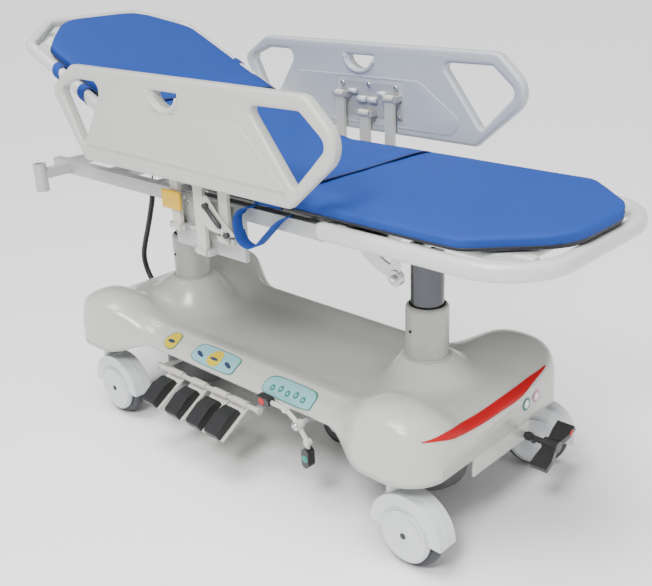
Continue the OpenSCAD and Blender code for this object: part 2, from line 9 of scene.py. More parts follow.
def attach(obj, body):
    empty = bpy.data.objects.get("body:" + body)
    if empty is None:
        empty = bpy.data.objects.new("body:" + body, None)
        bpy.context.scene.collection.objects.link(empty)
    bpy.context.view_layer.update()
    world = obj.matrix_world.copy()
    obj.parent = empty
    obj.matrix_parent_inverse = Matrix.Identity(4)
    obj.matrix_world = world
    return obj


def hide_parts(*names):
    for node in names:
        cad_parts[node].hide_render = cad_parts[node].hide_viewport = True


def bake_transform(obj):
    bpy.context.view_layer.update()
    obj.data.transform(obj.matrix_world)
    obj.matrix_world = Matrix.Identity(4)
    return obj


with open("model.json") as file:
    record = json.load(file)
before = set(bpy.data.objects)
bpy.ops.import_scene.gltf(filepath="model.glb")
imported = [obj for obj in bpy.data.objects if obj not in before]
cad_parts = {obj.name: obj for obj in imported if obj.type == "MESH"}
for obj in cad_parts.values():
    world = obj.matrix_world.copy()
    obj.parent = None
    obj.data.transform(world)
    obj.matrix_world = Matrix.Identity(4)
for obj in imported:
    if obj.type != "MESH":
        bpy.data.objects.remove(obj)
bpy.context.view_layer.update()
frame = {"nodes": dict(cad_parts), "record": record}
BX = -0.0312                # the base's middle in the row frame
N = frame["nodes"]

# ---------------------------------------------------------------- camera
AZ, EL, ROLL = radians(44.0073), radians(22.0904), radians(-2.2691)
CAM_X, CAM_Y, CAM_Z = 1.9501, -1.8809, 1.5975
SENSOR = 36                 # mm
FOCAL, PICTURE = 912.67, 652  # focal length and picture width, in the same unit
back = Vector((sin(AZ) * cos(EL), -cos(AZ) * cos(EL), sin(EL)))
level_x = (-back).cross(Vector((0, 0, 1))).normalized()
level_y = level_x.cross(-back)
cam_x = level_x * cos(ROLL) + level_y * sin(ROLL)
cam_y = level_y * cos(ROLL) - level_x * sin(ROLL)
cam_data = bpy.data.cameras.new("camera")
cam_data.sensor_width = SENSOR
cam_data.lens = SENSOR * FOCAL / PICTURE
cam = bpy.data.objects.new("camera", cam_data)
cam.matrix_world = Matrix((
    (cam_x.x, cam_y.x, back.x, CAM_X + BX),
    (cam_x.y, cam_y.y, back.y, CAM_Y),
    (cam_x.z, cam_y.z, back.z, CAM_Z),
    (0, 0, 0, 1)))
bpy.context.scene.collection.objects.link(cam)
bpy.context.scene.camera = cam


# ---------------------------------------------------------------- materials
BUMP_DEPTH = 0.0006         # metres
MOTTLE_SCALE, MOTTLE_DETAIL = 6, 5
COAT_ROUGH = 0.15


def material(name, color, rough=0.45, metal=0.0, coat=0.0, edge=0.0, bump=0.0, scale=200.0, mottle=0.0,
             weave=0.0, gloss=0.5):
    """A surface: edge rounds edges, bump is grain, weave is cloth threads, mottle darkens patches."""
    m = bpy.data.materials.new(name)
    m.use_nodes = True
    t = m.node_tree
    b = t.nodes["Principled BSDF"]
    b.inputs["Base Color"].default_value = (*color, 1)
    b.inputs["Roughness"].default_value = rough
    b.inputs["Metallic"].default_value = metal
    b.inputs["Coat Weight"].default_value = coat
    b.inputs["Specular IOR Level"].default_value = gloss
    b.inputs["Coat Roughness"].default_value = COAT_ROUGH
    normal = None
    coord = t.nodes.new("ShaderNodeTexCoord")
    if edge:
        bev = t.nodes.new("ShaderNodeBevel")
        bev.samples = 4
        bev.inputs["Radius"].default_value = edge
        normal = bev.outputs[0]
    if bump or weave:
        bp = t.nodes.new("ShaderNodeBump")
        if weave:
            tex = t.nodes.new("ShaderNodeTexWave")
            tex.wave_type = "BANDS"
            tex.bands_direction = "DIAGONAL"
            tex.inputs["Distortion"].default_value = 2
        else:
            tex = t.nodes.new("ShaderNodeTexNoise")
            tex.inputs["Detail"].default_value = 3
        tex.inputs["Scale"].default_value = scale
        bp.inputs["Strength"].default_value = weave or bump
        bp.inputs["Distance"].default_value = BUMP_DEPTH
        t.links.new(coord.outputs["Object"], tex.inputs["Vector"])
        t.links.new(tex.outputs["Fac"], bp.inputs["Height"])
        if normal is not None:
            t.links.new(normal, bp.inputs["Normal"])
        normal = bp.outputs[0]
    if mottle:
        nz = t.nodes.new("ShaderNodeTexNoise")
        nz.inputs["Scale"].default_value = MOTTLE_SCALE
        nz.inputs["Detail"].default_value = MOTTLE_DETAIL
        mix = t.nodes.new("ShaderNodeMixRGB")
        mix.inputs[1].default_value = (*color, 1)
        mix.inputs[2].default_value = (*[c * (1 - mottle) for c in color], 1)
        t.links.new(coord.outputs["Object"], nz.inputs["Vector"])
        t.links.new(nz.outputs["Fac"], mix.inputs[0])
        t.links.new(mix.outputs[0], b.inputs["Base Color"])
    if normal is not None:
        t.links.new(normal, b.inputs["Normal"])
    return m


M = {
    "cover_white": material("shell_white", (0.50, 0.50, 0.462), 0.26, coat=0.25, edge=0.004, bump=0.02,
                            mottle=0.03),
    "board_white": material("board_white", (0.60, 0.61, 0.595), 0.30, coat=0.1, edge=0.003, bump=0.05,
                            mottle=0.03),
    "rail_grey": material("rail_grey", (0.49, 0.495, 0.465), 0.34, edge=0.002, bump=0.10, scale=900,
                          mottle=0.03),
    # the same rail paint for the far rail, tinted cooler and bluer: painted shade on the far side
    "rail_far": material("rail_far_painted_shade", (0.47, 0.50, 0.53), 0.34, edge=0.002, bump=0.10, scale=900,
                         mottle=0.03),
    "castor_white": material("castor_white", (0.64, 0.66, 0.68), 0.28, coat=0.2, edge=0.003, mottle=0.03),
    "frame_silver": material("frame_paint", (0.46, 0.47, 0.465), 0.40, metal=0.25, edge=0.003, bump=0.05,
                             mottle=0.05),
    "column_cream": material("column_paint", (0.38, 0.38, 0.357), 0.34, coat=0.2, edge=0.001, mottle=0.03),
    "lever_white": material("lever_paint", (0.56, 0.55, 0.49), 0.32, coat=0.15, edge=0.0015, mottle=0.04),
    "pump_grey": material("pump_paint", (0.09, 0.092, 0.092), 0.5, edge=0.002, bump=0.08, mottle=0.08),
    "ram_chrome": material("ram_chrome", (0.075, 0.078, 0.085), 0.25, metal=1.0, edge=0.001, bump=0.01),
    "bare_steel": material("bare_steel", (0.55, 0.56, 0.57), 0.35, metal=1.0, edge=0.001, bump=0.06,
                           scale=400),
    "strut_aluminium": material("strut_metal", (0.55, 0.56, 0.57), 0.34, metal=0.8, edge=0.002, bump=0.06,
                                scale=500),
    "seal_rubber": material("seal_rubber", (0.02, 0.02, 0.02), 0.7, edge=0.001, bump=0.1),
    "pad_rubber": material("pad_rubber", (0.008, 0.0085, 0.010), 0.5, edge=0.003, bump=0.25, scale=600,
                           mottle=0.1),
    "pedal_black": material("pedal_plastic", (0.014, 0.014, 0.016), 0.35, coat=0.2, edge=0.003, bump=0.08),
    "tyre_grey": material("tyre_grey", (0.042, 0.044, 0.052), 0.6, edge=0.002, bump=0.1, mottle=0.1),
    "tyre_black": material("tyre_black", (0.02, 0.02, 0.02), 0.7, edge=0.002, bump=0.1),
    "core_grey": material("core_grey", (0.50, 0.51, 0.52), 0.4, edge=0.002, mottle=0.05),
    "core_dark": material("core_dark", (0.05, 0.05, 0.055), 0.45, edge=0.002),
    "latch_yellow": material("latch_yellow", (0.66, 0.40, 0.008), 0.42, edge=0.004, mottle=0.05),
    "damper_dark": material("damper_dark", (0.045, 0.047, 0.05), 0.42, metal=0.3, edge=0.0015),
    "mattress_blue": material("cover_blue", (0.020, 0.060, 0.29), 0.7, weave=0.16, scale=420, mottle=0.10,
                              gloss=0.12),
    "mattress_dark": material("cover_dark", (0.010, 0.012, 0.022), 0.6, bump=0.2, scale=700),
    "strap_navy": material("strap_navy", (0.018, 0.032, 0.115), 0.6, weave=0.3, scale=600),
    "hose_black": material("hose_black", (0.005, 0.005, 0.005), 0.42, bump=0.05),
    "label_blue": material("label_blue", (0.22, 0.46, 0.50), 0.45),
    "label_yellow": material("label_yellow", (0.60, 0.44, 0.010), 0.45),
    "label_green": material("label_green", (0.010, 0.17, 0.11), 0.45),
    "label_pink": material("label_pink", (0.50, 0.22, 0.34), 0.45),
    "label_dark": material("label_dark", (0.012, 0.03, 0.08), 0.45),
    "label_white": material("label_white", (0.85, 0.85, 0.85), 0.4),
    "stripe_red": material("stripe_red", (0.42, 0.004, 0.008), 0.5, gloss=0.2),
    "disc_red": material("disc_red", (0.45, 0.006, 0.010), 0.4),
    "disc_teal": material("disc_teal", (0.003, 0.22, 0.17), 0.4),
    "bolt_steel": material("bolt_steel", (0.62, 0.63, 0.64), 0.25, metal=1.0, edge=0.0006),
    "floor": material("floor_pale", (0.93, 0.93, 0.93), 0.7),
}

for entry in frame["record"]["subparts"]:
    mesh = N[entry["node"]].data
    mesh.materials.clear()
    mesh.materials.append(M[entry["material_slot"]])


# ---------------------------------------------------------------- builders
def add(name, me, body):
    """The object of a mesh, riding on a body; a piece given no body rides on none."""
    o = bpy.data.objects.new(name, me)
    bpy.context.scene.collection.objects.link(o)
    if body:
        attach(o, body)
    return o


def piece(name, verts, faces, mats, body, face_mats=None):
    """A smooth-shaded piece; face_mats picks one of mats for each face."""
    me = bpy.data.meshes.new(name)
    me.from_pydata([tuple(v) for v in verts], [], faces)
    me.update()
    for k in mats:
        me.materials.append(M[k])
    if face_mats:
        me.polygons.foreach_set("material_index", face_mats)
    bm = bmesh.new()
    bm.from_mesh(me)
    bmesh.ops.recalc_face_normals(bm, faces=bm.faces)
    bm.to_mesh(me)
    bm.free()
    me.polygons.foreach_set("use_smooth", [True] * len(me.polygons))
    return add(name, me, body)


def squareness(t, power):
    """Radius at angle t of a rounded square: power 2 is a circle, higher is squarer."""
    return (abs(cos(t)) ** power + abs(sin(t)) ** power) ** (-1 / power)


def skin(rings, closed=True, caps=True):
    """Vertices and faces through equal rings."""
    n = len(rings[0])
    verts = [v for r in rings for v in r]
    faces = []
    for i in range(len(rings) - 1):
        for j in range(n if closed else n - 1):
            k = (j + 1) % n
            faces.append((i * n + j, (i + 1) * n + j, (i + 1) * n + k, i * n + k))
    if caps:
        faces.append(tuple(range(n)))
        faces.append(tuple(range((len(rings) - 1) * n, len(rings) * n)))
    return verts, faces


def tube(name, pts, r, mat, body, sides=16, side=None):
    """A round rod along points; side is the direction of the section's first axis."""
    pts = [Vector(p) for p in pts]
    rings = []
    last = None
    end = len(pts) - 1
    for i, p in enumerate(pts):
        d = (pts[min(end, i + 1)] - pts[max(0, i - 1)]).normalized()
        if side:
            u = Vector(side)
        elif last:
            u = last
        else:
            u = Vector((0, 0, 1)) if abs(d.z) < 0.9 else Vector((1, 0, 0))
        u = (u - d * u.dot(d)).normalized()
        last = u
        v = d.cross(u)
        rings.append([p + r * (cos(2 * pi * k / sides) * u + sin(2 * pi * k / sides) * v)
                      for k in range(sides)])
    verts, faces = skin(rings)
    return piece(name, verts, faces, [mat], body)


def smooth_path(pts, per=8):
    """Catmull-Rom points through pts."""
    pts = [Vector(p) for p in pts]
    out = []
    for i in range(len(pts) - 1):
        a, b, c, d = pts[max(0, i - 1)], pts[i], pts[i + 1], pts[min(len(pts) - 1, i + 2)]
        for k in range(per):
            t = k / per
            out.append(0.5 * (2 * b + (c - a) * t + (2 * a - 5 * b + 4 * c - d) * t * t
                              + (3 * b - a - 3 * c + d) * t ** 3))
    out.append(pts[-1])
    return out


HULL_STEPS = 28             # points on each circle


def hull(circles):
    """Convex outline round circles (x, z, r)."""
    turn = [2 * pi * k / HULL_STEPS for k in range(HULL_STEPS)]
    pts = sorted({(round(x + r * cos(t), 6), round(z + r * sin(t), 6)) for x, z,
                  r in circles for t in turn})

    def half(seq):
        out = []
        for p in seq:
            while len(out) > 1 and ((out[-1][0] - out[-2][0]) * (p[1] - out[-2][1])
                                    - (out[-1][1] - out[-2][1]) * (p[0] - out[-2][0])) <= 0:
                out.pop()
            out.append(p)
        return out[:-1]
    return half(pts) + half(reversed(pts))


SHARP = radians(40)         # edges steeper than this stay crisp


def plate(name, loops, thick, bevel, matrix, mat, body, res=4):
    """A flat plate with holes and rounded edges, through matrix; its middle plane is z = 0."""
    cu = bpy.data.curves.new(name, "CURVE")
    cu.dimensions = "2D"
    cu.fill_mode = "BOTH"
    cu.extrude = thick / 2 - bevel
    cu.bevel_depth = bevel
    cu.offset = -bevel
    cu.bevel_resolution = res
    for loop in loops:
        sp = cu.splines.new("POLY")
        sp.points.add(len(loop) - 1)
        for p, q in zip(sp.points, loop):
            p.co = (q[0], q[1], 0, 1)
        sp.use_cyclic_u = True
    o = bpy.data.objects.new(name + "_curve", cu)
    bpy.context.scene.collection.objects.link(o)
    bpy.context.view_layer.update()
    me = bpy.data.meshes.new_from_object(o.evaluated_get(bpy.context.evaluated_depsgraph_get()))
    bpy.data.objects.remove(o)
    me.name = name
    me.transform(matrix)
    me.materials.clear()
    me.materials.append(M[mat])
    bm = bmesh.new()
    bm.from_mesh(me)
    bmesh.ops.remove_doubles(bm, verts=bm.verts, dist=1e-5)
    bmesh.ops.recalc_face_normals(bm, faces=bm.faces)
    for f in bm.faces:
        f.smooth = True
    for e in bm.edges:
        if len(e.link_faces) == 2 and e.calc_face_angle() > SHARP:
            e.smooth = False
    bm.to_mesh(me)
    bm.free()
    return add(name, me, body)


def block(name, lo, hi, r, mat, body, matrix=Matrix.Identity(4), segments=3):
    """A box from corner lo to corner hi with edges rounded to r."""
    bm = bmesh.new()
    bmesh.ops.create_cube(bm, size=1)
    for v in bm.verts:
        v.co = Vector([lo[i] + (hi[i] - lo[i]) * (v.co[i] + 0.5) for i in range(3)])
    bmesh.ops.bevel(bm, geom=bm.edges[:], offset=r, segments=segments, affect="EDGES", profile=0.5)
    me = bpy.data.meshes.new(name)
    bm.to_mesh(me)
    bm.free()
    me.transform(matrix)
    me.materials.append(M[mat])
    me.polygons.foreach_set("use_smooth", [True] * len(me.polygons))
    return add(name, me, body)


def turned(name, profile, centre, axis, mat, body, sides=32):
    """A turned piece: profile is (radius, distance along axis)."""
    d = Vector(axis).normalized()
    u = d.orthogonal().normalized()
    v = d.cross(u)
    c = Vector(centre)
    rings = [[c + d * h + max(r, 1e-5) * (cos(2 * pi * k / sides) * u + sin(2 * pi * k / sides) * v)
              for k in range(sides)] for r, h in profile]
    verts, faces = skin(rings)
    return piece(name, verts, faces, [mat], body)


def screw(name, centre, axis, r, body, mat="bolt_steel"):
    """A round screw head with a socket."""
    return turned(name, [(r, -0.002), (r, 0.0012), (r * 0.8, 0.0028), (r * 0.45, 0.0032),
                         (r * 0.42, 0.0015)],
                  centre, axis, mat, body, sides=20)


def ease(a, b, x):
    """0 below a, 1 above b, and an even S between."""
    t = min(1.0, max(0.0, (x - a) / (b - a)))
    return t * t * (3 - 2 * t)


# ---------------------------------------------------------------- hose
HOSE_R = 0.0105
# millimetres, from the wire hook under the platform down to behind the base cover
HOSE_MM = [(-862, 664), (-868, 640), (-878, 612), (-889, 584), (-900, 556), (-912, 528), (-924, 500),
           (-937, 472), (-949, 444), (-960, 414), (-965, 386), (-962, 358), (-953, 332), (-940, 310),
           (-926, 292)]
HOSE = [Vector((x / 1000 + BX, 0.1, z / 1000)) for x, z in HOSE_MM]
route = smooth_path(HOSE, 4)
hose = tube("drain_hose", route, HOSE_R, "hose_black", "deck", sides=20, side=(0, 1, 0))
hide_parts("hose")

# ---------------------------------------------------------------- base cover
COL = 0.5245                # distance of a lift column from the middle
COVER_HALF, CORNER = 0.780, 0.120
WAIST, FLARE = 0.300, 0.075  # half width in the middle, and how much wider the bulbs are
END_DROP = 0.046            # the top is this much lower at the rounded ends
CREST_IN, CREST_DROP = 0.052, 0.012
WALL = 0.006


def round_end(x):
    """The rounded end's share of the half width: CORNER on the straight, 0 at the very end."""
    d = abs(x) - (COVER_HALF - CORNER)
    return CORNER if d <= 0 else sqrt(max(0.0, CORNER * CORNER - d * d))


def half_wide(x):
    return WAIST + FLARE * ease(0.400, 0.600, abs(x)) - CORNER + round_end(x)


def low_edge(x):
    return 0.302 - 0.040 * ease(0.400, 0.560, abs(x))


def tray(x, y):
    hump = 0.026 * exp(-((abs(x) - 0.635) / 0.110) ** 2 - ((abs(y) - 0.265) / 0.090) ** 2)
    return 0.342 + 0.020 * ease(0.150, 0.225, abs(y)) + 0.056 * ease(0.400, 0.580, abs(x)) + hump


def cover_top(x, y):
    """Height of the tray, drawn up into a collar round each column."""
    w = 1 - ease(0.066, 0.165, hypot(abs(x) - COL, y))
    return tray(x, y) * (1 - w) + 0.450 * w


def cover_section(x, across, up_side):
    """Points over the cover at x: up the near side, across the top and down the far side."""
    w = half_wide(x)
    drop = END_DROP - END_DROP / CORNER * round_end(x)
    low = low_edge(x)
    crest = cover_top(x, w - 0.060) - CREST_DROP - drop
    lean = 0.095 - 0.054 * ease(0.400, 0.560, abs(x))
    out = []
    for k in range(up_side + 1):
        y = w - 0.004 - lean * (1 - cos(radians(75 * k / up_side)))
        out.append((x, y, low + (crest - low) * sin(radians(90 * k / up_side))))
    top = []
    for i in range(1, across):
        y = (w - CREST_IN) * (1 - 2 * i / across)
        top.append((x, y, cover_top(x, y) - drop))
    return out + top + [(a, -b, c) for a, b, c in reversed(out)]


def build_cover():
    steps, across, up_side = 132, 72, 12
    rings = []
    for i in range(steps + 1):
        x = (COVER_HALF - 0.001) * sin(radians(-90 + 180 * i / steps))
        rings.append([(p[0] + BX, p[1], p[2]) for p in cover_section(x, across, up_side)])
    verts, faces = skin(rings, closed=False, caps=False)
    width = len(rings[0])
    faces.append(tuple(range(width)))
    faces.append(tuple(range(steps * width, (steps + 1) * width)))
    shell = piece("base_shell", verts, faces, ["cover_white"], "base")
    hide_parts("base_cover")
    # soften the crest where the side profile meets the top, but not the collars round the columns
    bm = bmesh.new()
    bm.from_mesh(shell.data)
    inner = [v for v in bm.verts if not v.is_boundary]
    for _ in range(8):
        loose = [v for v in inner if hypot(abs(v.co.x - BX) - COL, v.co.y) > 0.075]
        bmesh.ops.smooth_vert(bm, verts=loose, factor=0.5, use_axis_x=True, use_axis_y=True,
                              use_axis_z=True)
    bm.to_mesh(shell.data)
    bm.free()
    mod = shell.modifiers.new("wall", "SOLIDIFY")
    mod.thickness = WALL
    mod.offset = -1
    return shell


cover = build_cover()
cover_tree = BVHTree.FromObject(cover, bpy.context.evaluated_depsgraph_get())
block("base_skirt", (0.7695 + BX, -0.125, 0.203), (0.778 + BX, 0.150, 0.300), 0.003, "cover_white", "base")
for s in (-1, 1):
    turned("column_collar_%d" % (s + 1),
           [(0.0625, 0), (0.069, 0), (0.0705, 0.003), (0.069, 0.006), (0.0625, 0.0065)],
           (s * COL + BX, 0, 0.448), (0, 0, 1), "column_cream", "base", sides=56)


LABEL_STEP = 0.0006         # each layer of a label stands this far above the last
LABEL_CLEAR = 0.0010        # and the lowest this much more off the cover
LABEL_RINGS, LABEL_POINTS = 8, 40


def decal(name, outline, to_point, direction, mat, layer=1):
    """A thin label that lies on the cover: outline points are carried onto it along direction."""
    n = len(outline)
    cx = sum(p[0] for p in outline) / n
    cy = sum(p[1] for p in outline) / n
    flat = [(cx, cy)]
    for k in range(1, LABEL_RINGS + 1):
        flat += [(cx + (p[0] - cx) * k / LABEL_RINGS, cy + (p[1] - cy) * k / LABEL_RINGS) for p in outline]
    verts = []
    for p in flat:
        start = Vector(to_point(*p))
        hit = cover_tree.ray_cast(start - Vector(direction) * 0.5, Vector(direction))
        verts.append(hit[0] + hit[1] * (layer * LABEL_STEP + LABEL_CLEAR) if hit[0] else start)
    faces = [(0, 1 + j, 1 + (j + 1) % n) for j in range(n)]
    for i in range(LABEL_RINGS - 1):
        a, b = 1 + i * n, 1 + (i + 1) * n
        faces += [(a + j, b + j, b + (j + 1) % n, a + (j + 1) % n) for j in range(n)]
    return piece(name, verts, faces, [mat], "base")


def pill(cx, cz, w, h, angle=0.0, power=2.0):
    """An oval, or with a higher power a rounded bar, turned by angle."""
    out = []
    for k in range(LABEL_POINTS):
        t = 2 * pi * k / LABEL_POINTS
        r = squareness(t, power)
        x, z = w / 2 * r * cos(t), h / 2 * r * sin(t)
        out.append((cx + x * cos(angle) - z * sin(angle), cz + x * sin(angle) + z * cos(angle)))
    return out


def near_side(x, z):
    return (x + BX, -0.36, z)


def foot_end(y, z):
    return (0.77 + BX, y, z)


def near_label(name, outline, mat, layer=1):
    decal(name, outline, near_side, (0, 1, 0), mat, layer)


def end_label(name, outline, mat, layer=1):
    decal(name, outline, foot_end, (-1, 0, 0), mat, layer)


LABEL_Z, PANEL_Z = 0.337, 0.333
OVAL_X, PILL_X, PANEL_X = -0.318, -0.103, 0.232
near_label("label_oval_rim", pill(OVAL_X, LABEL_Z, 0.064, 0.0365), "label_green")
near_label("label_oval", pill(OVAL_X, LABEL_Z, 0.058, 0.0325), "label_yellow", 2)
near_label("label_oval_mark", pill(OVAL_X, LABEL_Z + 0.001, 0.034, 0.006), "label_dark", 3)
near_label("label_pill_rim", pill(PILL_X, LABEL_Z, 0.204, 0.0405, power=4), "label_green")
near_label("label_pill", pill(PILL_X, LABEL_Z, 0.198, 0.0365, power=4), "label_blue", 2)
near_label("label_pill_oval", pill(PILL_X, LABEL_Z, 0.058, 0.030), "label_yellow", 3)
near_label("label_pill_bar", pill(PILL_X, LABEL_Z + 0.001, 0.036, 0.005), "label_dark", 4)
for k, dx in enumerate((-0.066, 0.066)):
    near_label("label_pill_arrow_%d" % k, pill(PILL_X + dx, LABEL_Z, 0.036, 0.007, -0.16), "label_dark", 3)
near_label("label_panel_rim", pill(PANEL_X, PANEL_Z, 0.204, 0.0385, power=4.5), "label_green")
near_label("label_panel", pill(PANEL_X, PANEL_Z, 0.198, 0.0345, power=4.5), "label_blue", 2)
for k in range(5):
    x, z = 0.170 + 0.031 * k, PANEL_Z + 0.003 * (k % 2)
    near_label("label_panel_mark_%d" % k, pill(x, z, 0.018, 0.012), "label_green", 3)
    near_label("label_panel_dot_%d" % k, pill(x, z, 0.008, 0.005), "label_blue", 4)
end_label("label_round_green", pill(0.125, 0.320, 0.036, 0.040), "label_green")
end_label("label_round_green_in", pill(0.125, 0.320, 0.022, 0.025), "label_white", 2)
end_label("label_round_pink", pill(0.176, 0.324, 0.034, 0.038), "label_pink")
end_label("label_round_pink_in", pill(0.176, 0.324, 0.020, 0.023), "label_white", 2)

# upper and lower edge of the red swoosh, from the near corner to the far one
STRIPE_TOP = [(0.746, -0.315, 0.389), (0.762, -0.279, 0.392), (0.770, -0.227, 0.394),
              (0.763, -0.100, 0.380), (0.759, 0.019, 0.378), (0.757, 0.133, 0.380), (0.768, 0.237, 0.396)]
STRIPE_LOW = [(0.746, -0.315, 0.387), (0.768, -0.275, 0.382), (0.779, -0.217, 0.369),
              (0.779, -0.104, 0.356), (0.779, -0.010, 0.354), (0.779, 0.100, 0.356),
              (0.771, 0.232, 0.392)]


def stripe():
    """A red swoosh across the foot end, carried onto the cover row by row."""
    rows = 8
    outward = Vector((0.80, -0.30, 0.52)).normalized()
    verts = []
    for a, b in zip(smooth_path(STRIPE_TOP, 12), smooth_path(STRIPE_LOW, 12)):
        for j in range(rows + 1):
            p = a.lerp(b, j / rows) + Vector((BX, 0, 0))
            hit = cover_tree.ray_cast(p + outward * 0.1, -outward)
            verts.append(hit[0] + hit[1] * (LABEL_STEP + LABEL_CLEAR) if hit[0] else p)
    w = rows + 1
    faces = [(i + j, i + w + j, i + w + j + 1, i + j + 1)
             for i in range(0, len(verts) - w, w) for j in range(rows)]
    piece("end_stripe", verts, faces, ["stripe_red"], "base")


stripe()

# ---------------------------------------------------------------- leg loop and seat panel
LOOP_HALF, LOOP_R, LOOP_X = 0.340, 0.190, 0.860  # half width, corner radius, where the corners begin
LOOP_ARC = 28               # points on each corner
BAR_SIDES = 28
BRIDGE_R, BRIDGE_TOP = 0.005, 0.903
TUBE_IN, TUBE_OUT = 0.2815, 0.3185  # the side tube's faces
PANEL_END, PANEL_HEAD, PANEL_HALF = 0.430, -0.064, 0.270
SEAT_Z = 0.894


def loop_line(inset, x0):
    r = LOOP_R - inset
    turn = [pi / 2 * k / LOOP_ARC for k in range(LOOP_ARC + 1)]
    pts = [(x0, -(LOOP_HALF - inset))]
    pts += [(LOOP_X + r * sin(t), -(LOOP_HALF - LOOP_R) - r * cos(t)) for t in turn]
    return pts + [(x, -y) for x, y in reversed(pts)]


def sweep_bar(name, line, wide, high, z, mat, body, transform, power=3.0):
    """A soft-edged bar along a flat line; its section is wide across the line and high."""
    pts = [Vector((x, y, 0)) for x, y in line]
    rings = []
    for i, p in enumerate(pts):
        d = (pts[min(len(pts) - 1, i + 1)] - pts[max(0, i - 1)]).normalized()
        nrm = Vector((-d.y, d.x, 0))
        ring = []
        for k in range(BAR_SIDES):
            t = 2 * pi * k / BAR_SIDES
            r = squareness(t, power)
            ring.append(p + nrm * (wide / 2 * r * cos(t)) + Vector((0, 0, z + high / 2 * r * sin(t))))
        rings.append([transform @ q for q in ring])
    verts, faces = skin(rings)
    return piece(name, verts, faces, [mat], body)


def even_line(line, step):
    """The line again, with points about a step apart."""
    out = []
    for p, q in zip(line, line[1:]):
        n = max(1, round(hypot(q[0] - p[0], q[1] - p[1]) / step))
        out += [(p[0] + (q[0] - p[0]) * k / n, p[1] + (q[1] - p[1]) * k / n) for k in range(n)]
    return out + [line[-1]]


def across(s, near, far):
    """The y range between two distances from the middle, on side s, lowest first."""
    return min(s * near, s * far), max(s * near, s * far)


shift = Matrix.Translation((BX, 0, 0))
loop_bar = sweep_bar("leg_loop", even_line(loop_line(0.0212, 0.4305), 0.012), 0.0415, 0.044, 0.883,
                     "board_white", "deck", shift)
panel_line = [(PANEL_HEAD, -PANEL_HALF), (PANEL_END, -PANEL_HALF)]
panel_line += [(x, y) for x, y in loop_line(0.084, 0.470)]
panel_line += [(PANEL_END, PANEL_HALF), (PANEL_HEAD, PANEL_HALF)]
plate("seat_panel", [panel_line], 0.0195, 0.006, Matrix.Translation((BX, 0, SEAT_Z)), "board_white", "deck")
tube("seat_panel_rim", [(x + BX, y, SEAT_Z) for x, y in loop_line(0.094, 0.50)], 0.0105, "board_white",
     "deck")
for k, x in enumerate((0.470, 0.700)):
    for s in (-1, 1):
        y0, y1 = across(s, 0.24, 0.312)
        block("loop_bridge_%d_%d" % (k, s + 1), (x + BX, y0, 0.885), (x + 0.034 + BX, y1, BRIDGE_TOP),
              BRIDGE_R, "board_white", "deck")
for s in (-1, 1):
    y0, y1 = across(s, TUBE_IN, TUBE_OUT)
    block("loop_end_bridge_%d" % (s + 1), (0.925 + BX, s * 0.215 - 0.016, 0.886),
          (0.985 + BX, s * 0.215 + 0.016, BRIDGE_TOP), BRIDGE_R, "board_white", "deck")
    block("loop_ferrule_%d" % (s + 1), (0.424 + BX, y0, 0.851), (0.436 + BX, y1, 0.896), 0.004,
          "frame_silver", "deck")
block("loop_middle_bridge", (0.955 + BX, -0.034, 0.885), (1.020 + BX, 0.034, BRIDGE_TOP), BRIDGE_R,
      "board_white", "deck")
block("loop_inner_bar", (0.4305 + BX, -0.300, 0.8635), (0.4715 + BX, 0.300, 0.8830), 0.004, "board_white",
      "deck")
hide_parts("seat_deck")

# ---------------------------------------------------------------- backrest board
HINGE = Vector((-0.101 + BX, 0, 0.885))
LEAN = radians(24)
LEN, HALF = 0.978, 0.336    # of the board, from the hinge to the head end, and its half width
EDGE_R, EDGE_STEPS = 0.050, 8
HINGE_Y, EAR_R, EAR_BORE, EAR_HALF = 0.267, 0.0158, 0.0085, 0.013
RIM_Z = 0.036
# local x runs from the hinge to the head end, local z stands off the board
board_m = Matrix.Translation(HINGE) @ Matrix((
    (-cos(LEAN), 0, sin(LEAN), 0), (0, 1, 0, 0), (sin(LEAN), 0, cos(LEAN), 0), (0, 0, 0, 1)))


def board_line(inset, s0):
    """Edge of the board from the near foot end round the head end to the far foot end."""
    r = EDGE_R - inset
    c1, c2 = (LEN - 0.155, HALF - 0.050), (LEN - 0.050, HALF - 0.175)
    bend = atan2(c1[1] - c2[1], c2[0] - c1[0])
    first = [t * (pi / 2 - bend) / EDGE_STEPS for t in range(EDGE_STEPS + 1)]
    second = [pi / 2 - bend + t * bend / EDGE_STEPS for t in range(EDGE_STEPS + 1)]
    near = [(s0, -(HALF - inset))]
    for (cx, cy), turn in ((c1, first), (c2, second)):
        near += [(cx + r * sin(t), -cy - r * cos(t)) for t in turn]
    return near + [(x, -y) for x, y in reversed(near)]


def grip_slot(s):
    """A slanted hand slot near the head end, on side s."""
    a = radians(s * -50)
    loop = []
    for k in range(32):
        t = 2 * pi * k / 32
        r = squareness(t, 4)
        u, v = 0.049 * r * cos(t), 0.0215 * r * sin(t)
        loop.append((LEN - 0.110 + u * cos(a) - v * sin(a), s * 0.218 + u * sin(a) + v * cos(a)))
    return loop


rim = sweep_bar("backrest_rim", even_line(board_line(0.0172, 0.042), 0.014), 0.0335, 0.0375, RIM_Z,
                "board_white", "backrest", board_m, power=2.6)
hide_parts("backrest_board")
plate("backrest_panel", [board_line(0.026, 0.040), grip_slot(-1), grip_slot(1)], 0.0175, 0.004,
      board_m @ Matrix.Translation((0, 0, 0.026)), "board_white", "backrest")
for s in (-1, 1):
    turned("hinge_ear_%d" % (s + 1),
           [(EAR_BORE, -EAR_HALF), (EAR_R, -EAR_HALF), (EAR_R, EAR_HALF), (EAR_BORE, EAR_HALF)],
           HINGE + Vector((0, s * HINGE_Y, 0)), (0, 1, 0), "board_white", "backrest")
    block("hinge_arm_%d" % (s + 1), (0.004, s * HINGE_Y - 0.0125, 0.002),
          (0.060, s * HINGE_Y + 0.0125, 0.022),
          0.003, "board_white", "backrest", board_m)

